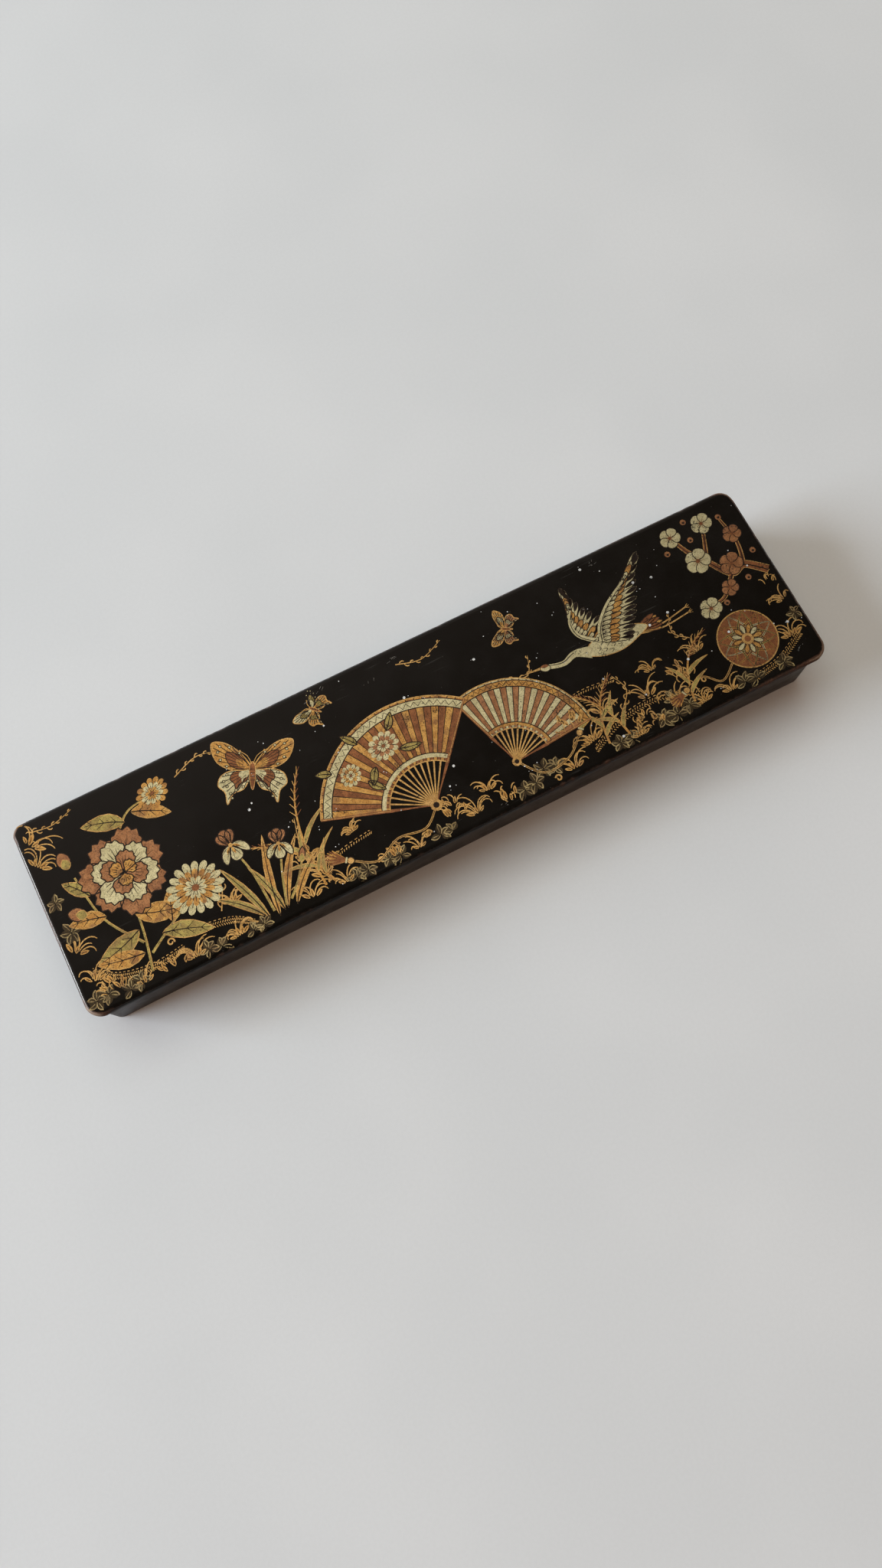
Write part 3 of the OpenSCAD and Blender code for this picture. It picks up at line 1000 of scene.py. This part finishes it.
def draw_grasses(art):
    """Grasses, bushes and ground lines along the near side, under the other motifs."""
    draw = random.Random(21)
    for path, rows in (([-119-19j, -112-24j, -102-26j, -92-25j], 2),
            ([-86-22j, -76-24j, -70-28j], 2), ([-46-27j, -40-21j, -28-19j], 1),
            ([44-27j, 56-22j, 70-21j, 84-26j], 2), ([36-12j, 48-9j, 60-10j], 1),
            ([100-29j, 110-27j, 120-22j], 2)):
        hatched_ground(art, path, rows)
    for x, y, size, turn in ((-121, 24, 9, -58), (-121.5, 17, 8, -48), (-121, -12, 8, -40),
            (-119, -22, 8, -15), (-106, -29, 7, 0), (-90, -29, 7.5, 0), (-76, -29, 7, 8), (-74, -19, 6, -5),
            (-52, -28.5, 7, -8), (-46, -24, 8, 0), (-41, -29, 6, 0), (-33, -16, 5, 12), (-17, -29.5, 5, 0),
            (3, -28, 7.5, 6), (9, -23, 6, -6), (36, -29, 7, 0), (45, -24, 8, 10), (52, -17, 7, -6),
            (59, -29, 6.5, 0), (67, -19, 7.5, 0), (75, -24, 8, -10), (72, -12, 5.5, 6), (88, -13, 6, 10),
            (91, -29, 6, 0), (117, -22, 8, 0), (121, -10, 6, 25), (82, -28.5, 6, 6)):
        tuft(art.at(complex(x, y), turn), size, draw)
    for x, y, wide, rows in ((-115, -27, 7, 3), (-97, -28.5, 8, 2), (-49, -18, 6, 3), (-24, -28, 7, 2),
            (-3, -25, 7, 4), (14, -28.5, 7, 3), (41, -17, 8, 4), (63, -27.5, 9, 4), (80, -19, 7, 4),
            (120, -3, 5, 2)):
        thicket(art.at(complex(x, y)), wide, rows, draw)
    for x, y, r, heads in ((-121, 4, 2.4, 1), (-120, -5, 2.9, 1), (-119, -28, 2.8, 2),
            (-109, -28.6, 2.6, 2), (-84, -28.6, 2.7, 2), (-70, -28.8, 2.5, 2), (-36, -28.6, 2.7, 2),
            (-25, -28.8, 2.5, 2), (-8, -28.8, 2.6, 2), (21, -28.4, 2.8, 2), (29, -25, 2.7, 2),
            (54, -28.4, 2.8, 2), (70, -28, 3.0, 2), (77, -27.6, 2.9, 1), (73, -23.5, 2.6, 1),
            (98, -28.4, 2.7, 2), (110, -28.6, 2.6, 1), (121.5, -16, 2.3, 1)):
        bush(art.at(complex(x, y), layer=1), r, heads, draw)
    for x, y, angle, length, turn in ((-94, -22, 60, 9, 420), (-30, -28, 110, 8, -400),
            (-12, -27, 75, 9, 430), (-15, -27, 100, 8, -420), (29, -29, 70, 8, -400), (86, -22, 85, 8, 430),
            (96, -28, 60, 8, 400)):
        art.stroke(turning(complex(x, y), angle, length, turn, 22, 0.9, 0.8), (0.55, 0.5, 0.36), BRIGHT, 1)
    for path, size in (([-78-20j, -75-13j, -76-6j], 2.6), ([-45-26j, -49-15j, -47-4j], 2.5),
            ([57-20j, 62-14j, 60-8j], 2.2), ([-74+24j, -66+27j, -60+26j], 1.9),
            ([2+26j, 10+24j, 18+27j], 1.8), ([-120+28j, -113+27j, -106+29j], 2.0),
            ([88-8j, 84-4j, 86+2j], 1.9), ([30+6j, 37+4j, 40+10j], 2.0)):
        fern(art, path, size, draw)
    for root, angle, length, hook in ((-47-27j, 96, 37, -42), (-44-27j, 112, 28, 50),
            (49-27j, 84, 22, -50), (56-27j, 100, 21, 44), (79-27j, 80, 24, -60)):
        reed(art.up(4), root, angle, length, hook)


def draw_specks(art):
    """Spots of white paint and pale scuffs, most of them towards the right end."""
    draw = random.Random(17)
    for _ in range(74):
        x = 125 - 190 * draw.random() ** 1.5
        spot = complex(x, draw.uniform(-30, 30))
        art.dot(spot, draw.choice((0.1, 0.13, 0.15, 0.18, 0.22, 0.3, 0.44)), SPECK, 48, 9)
        if draw.random() < 0.3:
            art.dot(spot + complex(draw.uniform(-1.6, 1.6), draw.uniform(-1.6, 1.6)), 0.12, SPECK, 48, 7)
    for place, count, angle in ((34-17j, 7, 80), (36-13j, 4, 40), (-28+27j, 6, 15),
            (-24+28.5j, 4, 30), (1+28j, 5, 20), (-93-18j, 3, 60), (72+28j, 6, 25),
            (-8+25j, 3, 75), (12-29j, 4, 10), (117-27j, 4, 50)):
        for _ in range(count):
            root = place + complex(draw.uniform(-2.2, 2.2), draw.uniform(-1.1, 1.1))
            lean = way_of(angle + draw.uniform(-35, 35))
            art.stroke([root, root + lean * draw.uniform(0.3, 1.3)], (0.06, 0.18, 0.05), SCUFF, 46)


def decorate_lid(inks):
    lid_top = LidTop()
    for name, drawing in (("gilt_grasses", draw_grasses), ("gilt_flowers", draw_flowers),
            ("gilt_butterflies", draw_butterflies), ("gilt_fans", draw_fans), ("gilt_crane", draw_crane),
            ("gilt_branch", draw_branch), ("gilt_irises", draw_irises), ("paint_specks", draw_specks)):
        art = Art(lid_top)
        drawing(art)
        art.piece(name, inks)


def ink(name, colour, shade, speck, tint=0.0, gloss=0.42, metal=0.0):
    """Printed ink with shaded tones, dark dots and rubbed places. tint is its share of brown."""
    look = Look(name)
    tone = look.ramp(look.noise(2.1, detail=5.0, rough=0.65), 0.36, 0.64)
    tinted = look.ramp(look.noise(5.2, detail=3.0, rough=0.6), 0.5, 0.64)
    grain = look.ramp(look.noise(0.3, detail=1.5), 0.5, 0.66)
    dots = look.ramp(look.cells(1.5), 0.17, 0.11, 0.0, 0.85 * speck)
    blots = look.ramp(look.noise(0.75, detail=3.0, rough=0.6), 0.64 - 0.02 * speck, 0.7, 0.0, 0.6)
    right_end = look.ramp(look.axis("X"), -0.05, 0.13)
    rub = look.plus(look.noise(8, detail=5.0, rough=0.7), look.noise(0.55, detail=2.0))
    rub = look.plus(rub, look.times(right_end, 0.075))
    base = look.mix(tone, colour, shade)
    for share, coat in ((look.times(tinted, tint), TINT),
            (look.times(grain, 0.55), [0.22 * c for c in shade]),
            (look.math("MAXIMUM", dots, blots), UMBER),
            (look.times(right_end, 0.46), [0.16 * c for c in shade]),
            (look.ramp(rub, 1.19, 1.33, 0.0, 0.88), SOFT_BLACK)):
        base = look.mix(share, base, coat)
    look.bump((look.noise(0.4, detail=2.0), 0.0012))
    return look.finish(base, look.ramp(tone, 0, 1, gloss, gloss + 0.1), Metallic=metal, IOR=1.45)


def make_inks():
    return [ink("gold_ink", (0.64, 0.335, 0.078), (0.47, 0.21, 0.042), 1.0, 0.62, metal=0.15),
        ink("bright_gold_ink", (0.69, 0.39, 0.122), (0.51, 0.27, 0.068), 0.3, 0.25, metal=0.15),
        ink("rust_ink", (0.29, 0.097, 0.025), (0.175, 0.055, 0.015), 0.6),
        ink("cream_ink", (0.63, 0.53, 0.275), (0.48, 0.4, 0.195), 0.25, 0.1),
        ink("olive_gold_ink", (0.42, 0.31, 0.072), (0.27, 0.185, 0.046), 0.8, 0.35),
        ink("rose_ink", (0.41, 0.172, 0.058), (0.265, 0.098, 0.031), 0.7, 0.3),
        ink("moss_ink", (0.058, 0.038, 0.016), (0.03, 0.019, 0.009), 0.6, gloss=0.22),
        ink("line_ink", (0.02, 0.01, 0.0055), (0.013, 0.0075, 0.005), 0.2),
        ink("white_paint", (0.74, 0.73, 0.69), (0.62, 0.61, 0.57), 0.0, gloss=0.5),
        ink("pale_scuff", (0.36, 0.33, 0.28), (0.22, 0.2, 0.17), 0.0, gloss=0.6),
        ink("straw_ink", (0.42, 0.3, 0.12), (0.22, 0.145, 0.055), 0.5, 0.3)]


# Stage, light and camera

# Light of the room by height, by nearness to the window, and overhead towards the far side
LOW_SKY = ((0.0, (0.5, 0.41, 0.34)), (0.3, (0.42, 0.345, 0.285)), (0.55, (0.16, 0.13, 0.105)),
    (0.8, (0.06, 0.05, 0.04)), (1.0, (0.04, 0.034, 0.028)))
WINDOW_GLOW = ((0.0, (0.45, 0.44, 0.43)), (0.35, (0.6, 0.59, 0.58)), (0.5, (0.9, 0.9, 0.9)),
    (0.64, (1.2, 1.32, 1.5)), (1.0, (2.2, 2.6, 3.0)))
HIGH_SKY = ((0.0, (0.03, 0.021, 0.014)), (0.1, (0.034, 0.024, 0.016)), (0.17, (0.058, 0.043, 0.029)),
    (0.22, (0.088, 0.067, 0.05)), (0.262, (0.125, 0.098, 0.077)), (0.3, (0.205, 0.165, 0.135)),
    (0.34, (0.315, 0.26, 0.22)), (0.6, (0.6, 0.52, 0.46)))
NEAR_DARK = (0.03, 0.024, 0.018)

# Directions in X and Y towards the window, the far side and the near side
WINDOW_WAY = (-0.89, 0.45)
FAR_WAY = (-0.25, 0.97)
NEAR_WAY = (0.174, -0.985)

# What the camera sees of the room
BACKDROP = (0.7, 0.69, 0.675)

# Half the length of the tabletop, and its distance below the box
FLOOR_REACH = 4000
FLOOR_GAP = 0.05


def make_floor():
    look = Look("pale_tabletop")
    tone = look.ramp(look.noise(90, detail=2.0), 0.3, 0.7)
    colour = look.mix(tone, (0.6, 0.605, 0.6), (0.63, 0.632, 0.625))
    grain = look.ramp(look.noise(1.1, detail=3.0, rough=0.6), 0.35, 0.65)
    colour = look.mix(look.times(grain, 0.045), colour, (0.4, 0.4, 0.39))
    look.bump((look.noise(2.5, detail=3.0), 0.01))
    material = look.finish(colour, look.ramp(look.noise(30), 0.3, 0.7, 0.5, 0.6), IOR=1.4)
    corners = [(x * FLOOR_REACH, y * FLOOR_REACH, -FLOOR_GAP)
        for x, y in ((-1, -1), (1, -1), (1, 1), (-1, 1))]
    floor = add_mesh("tabletop", corners, [(0, 1, 2, 3)], [material], smooth=False)


def area_light(name, place, size, power, colour, gives):
    """A rectangular lamp aimed at the box. It gives light, or only a gleam in what is glossy."""
    data = bpy.data.lights.new(name, "AREA")
    data.shape = "RECTANGLE"
    data.size, data.size_y = size
    data.energy = power
    data.color = colour
    made = add_object(name, data)
    made.location = place
    made.rotation_mode = "QUATERNION"
    made.rotation_quaternion = (-Vector(place)).to_track_quat("-Z", "Y")
    made.visible_diffuse = gives == "light"
    made.visible_glossy = gives == "gleam"


def colour_stops(nodes, value, stops):
    colour = nodes.node("ValToRGB", {0: value})
    elements = colour.node.color_ramp.elements
    while len(elements) < len(stops):
        elements.new(0.5)
    for element, (at, (red, green, blue)) in zip(elements, stops):
        element.position = at
        element.color = (red, green, blue, 1)
    return colour


def make_world():
    """A warm room, dark overhead and towards the near side, brighter and cooler at -X and +Y."""
    world = bpy.data.worlds.new("studio")
    world.use_nodes = True
    bpy.context.scene.world = world
    nodes = Nodes(world.node_tree)
    way = nodes.node("TexCoord", output="Generated")

    def towards(x, y):
        return nodes.node("VectorMath", {0: way, 1: (x, y, 0.0)}, "Value", operation="DOT_PRODUCT")

    height = nodes.node("SeparateXYZ", {0: way}, "Z")
    across = nodes.plus(nodes.times(towards(*WINDOW_WAY), 0.5), 0.5)
    low = nodes.mix(1.0, colour_stops(nodes, height, LOW_SKY), colour_stops(nodes, across, WINDOW_GLOW),
        "MULTIPLY")
    high = colour_stops(nodes, towards(*FAR_WAY), HIGH_SKY)
    light = nodes.mix(nodes.ramp(height, 0.6, 0.85), low, high)
    level = nodes.math("SQRT", nodes.math("SUBTRACT", 1.0, nodes.times(height, height)))
    near_side = nodes.math("DIVIDE", towards(*NEAR_WAY), level)
    light = nodes.mix(nodes.ramp(near_side, 0.82, 0.93, 0.0, 0.9), light, NEAR_DARK)
    seen = nodes.mix(nodes.node("LightPath", output="Is Camera Ray"), light, BACKDROP)
    nodes.feed(nodes.tree.nodes["Background"].inputs["Color"], seen)


def make_camera():
    data = bpy.data.cameras.new("camera")
    data.lens = CAMERA_LENS
    data.sensor_width = CAMERA_SENSOR
    data.clip_start, data.clip_end = CAMERA_CLIP
    turn = Matrix.Translation(CAMERA_PLACE)
    for degrees, axis in ((CAMERA_AZIMUTH - 90, "Z"), (90 - CAMERA_PITCH, "X"), (CAMERA_ROLL, "Z")):
        turn = turn @ Matrix.Rotation(math.radians(degrees), 4, axis)
    camera = add_object("camera", data)
    camera.matrix_world = turn
    bpy.context.scene.camera = camera


def pen_wear(look):
    """Rubbing along the box, where pens roll and slide."""
    along = look.noise(5, detail=4.0, rough=0.6, place=look.stretched((0.08, 1, 1)))
    patch = look.noise(24, detail=2.0)
    return look.times(look.ramp(along, 0.45, 0.72), look.ramp(patch, 0.35, 0.65, 0.15, 0.75))


def arris_wear(low, high):
    """Rubbing that grows from one height to another, in millimetres."""
    def wear(look):
        rubbed = look.ramp(look.axis("Z"), low * MM, high * MM, 0.0, 0.75)
        return look.times(rubbed, look.ramp(look.noise(4, detail=3.0), 0.3, 0.6, 0.35, 1.0))
    return wear


def ease_arrises(node, width, material):
    """Replaces a CAD piece by a copy with eased arrises."""
    shape = bmesh.new()
    shape.from_mesh(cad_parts[node].data)
    bmesh.ops.remove_doubles(shape, verts=shape.verts, dist=0.001 * MM)
    bmesh.ops.dissolve_limit(shape, angle_limit=math.radians(0.5), verts=shape.verts, edges=shape.edges)
    sharp = [edge for edge in shape.edges if edge.calc_face_angle(0) > math.radians(35)]
    bmesh.ops.bevel(shape, geom=sharp, offset=width * MM, segments=3, profile=0.5, affect="EDGES")
    mesh = bpy.data.meshes.new(node + "_eased")
    shape.to_mesh(mesh)
    shape.free()
    mesh.materials.append(material)
    made = add_object(node + "_eased", mesh)
    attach(made, "box")
    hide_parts(node)


def dress_inside():
    def inner(name, low, high):
        return lacquer(name, INNER_DARK, INNER_BROWN, INNER_GLOSS, arris_wear(low, high))

    rest = inner("rest_lacquer", 8.4, 10.2)
    ease_arrises("nib_partition", 0.35, inner("partition_lacquer", 14.6, 16.2))
    ease_arrises("pen_rest_left", 0.45, rest)
    ease_arrises("pen_rest_right", 0.45, rest)
    floor = lacquer("floor_lacquer", WALL_BROWN, INNER_DARK, INNER_GLOSS, pen_wear)
    for node, material in (("floor_board", floor), ("lid_rim", inner("rim_lacquer", 20.6, 19.3))):
        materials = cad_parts[node].data.materials
        materials.clear()
        materials.append(material)


make_camera()
make_world()
area_light("window", (-2.5, 0.85, 1.25), (1.6, 1.3), 111.0, (0.779, 0.877, 1.0), "light")
area_light("overhead", (0, 0.1, 2.0), (2.2, 2.8), 20.9, (1.0, 0.662, 0.469), "light")
area_light("far_side", (0, 0.7, 1.9), (1.6, 1.6), 9.4, (0.415, 0.887, 1.0), "light")
area_light("left_gleam", (-2.6, 0.3, 0.38), (1.6, 0.46), 62.0, (0.95, 0.98, 1.0), "gleam")
make_floor()
make_lid(lacquer("lid_black_lacquer", BLACK, SOFT_BLACK, 0.15, attribute_wear, dull_roll))
make_wall(lacquer("wall_black_lacquer", WALL_BLACK, WALL_BROWN, 0.3, attribute_wear, specular=0.095))
decorate_lid(make_inks())
dress_inside()

bpy.context.scene.view_settings.view_transform = "Standard"
